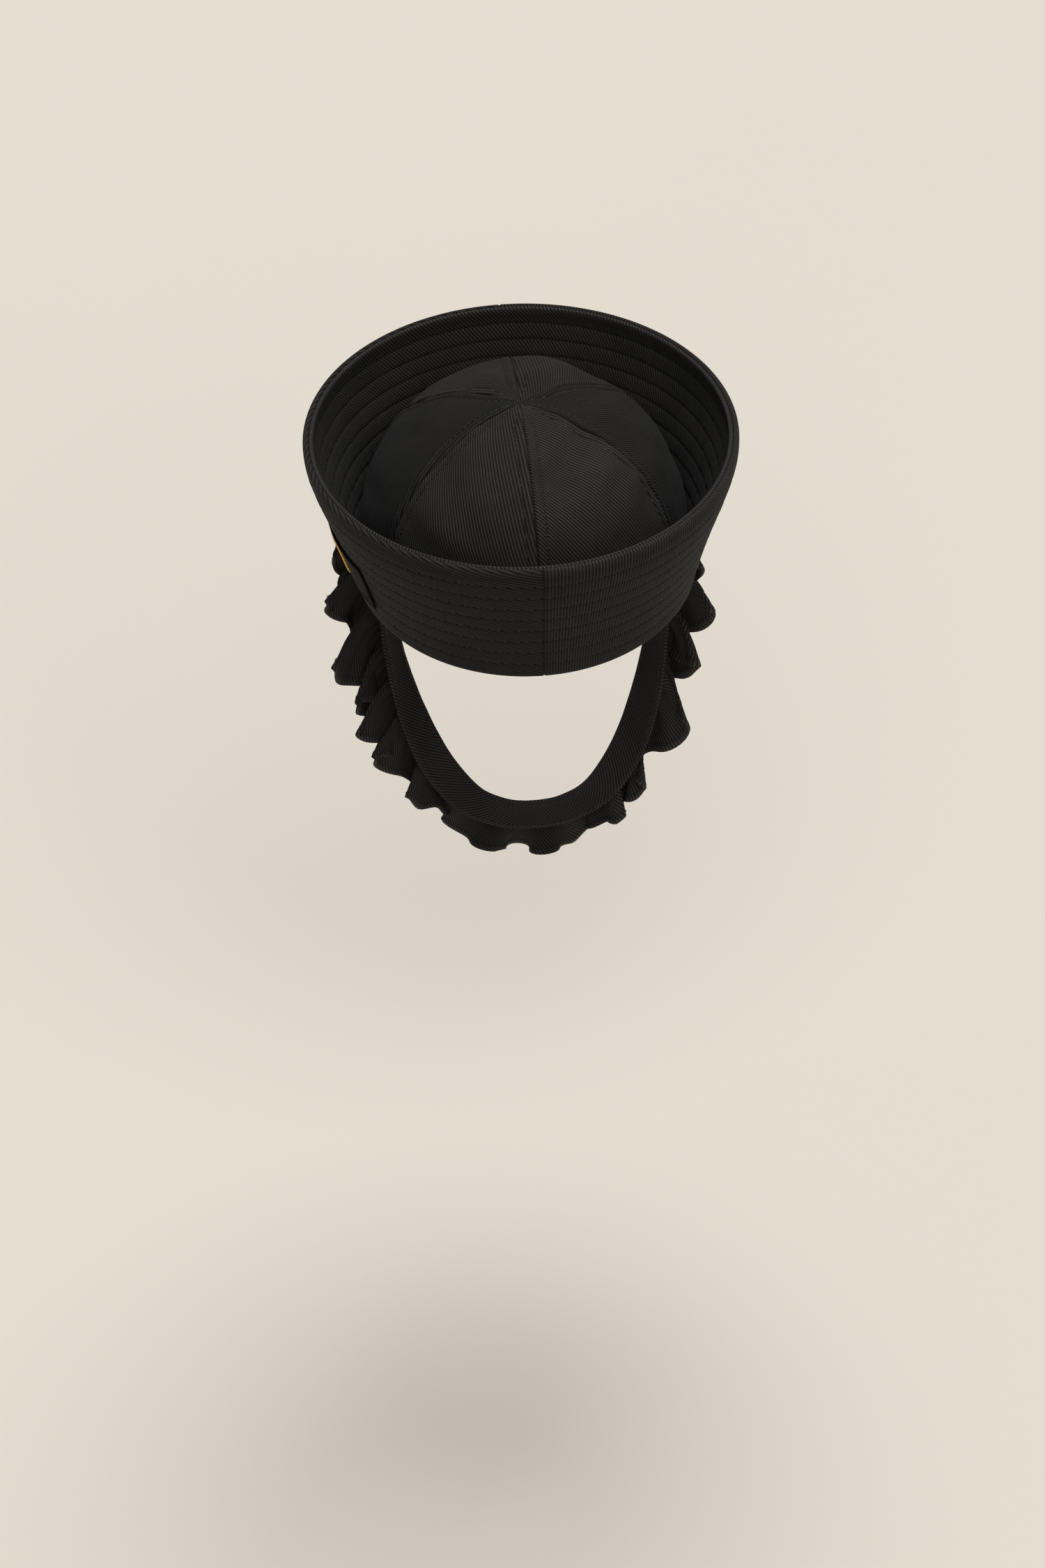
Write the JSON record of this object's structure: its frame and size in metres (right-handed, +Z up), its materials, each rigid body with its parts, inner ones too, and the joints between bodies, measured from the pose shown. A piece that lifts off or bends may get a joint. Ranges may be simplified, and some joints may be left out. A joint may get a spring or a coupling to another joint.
{
  "type": "sailor cap with ruffled chin strap",
  "caption": "Black twill sailor cap with a domed panelled crown, a stitched turned-up brim and a ruffled strap loop that hangs behind the neck.",
  "frame": {"origin": "middle of the opening at the cap's lower edge, where a head goes in", "axes": "+Z up along the crown, -Y to the front of the cap, +X to the wearer's left"},
  "size_m": [0.2158, 0.2498, 0.2907],
  "materials": {
    "twill": "black cotton twill, matt, with topstitching",
    "patch": "black woven patch",
    "thread": "yellow satin stitch"
  },
  "bodies": {
    "root": {"crown_front_left": "twill", "crown_side_left": "twill", "crown_back_left": "twill", "crown_back_right": "twill", "crown_side_right": "twill", "crown_front_right": "twill", "brim_outer_left": "twill", "brim_outer_right": "twill", "brim_inner": "twill", "chin_strap": "twill", "strap_ruffle": "twill", "label_patch": "patch", "label_bar": "thread"}
  },
  "joints": []
}
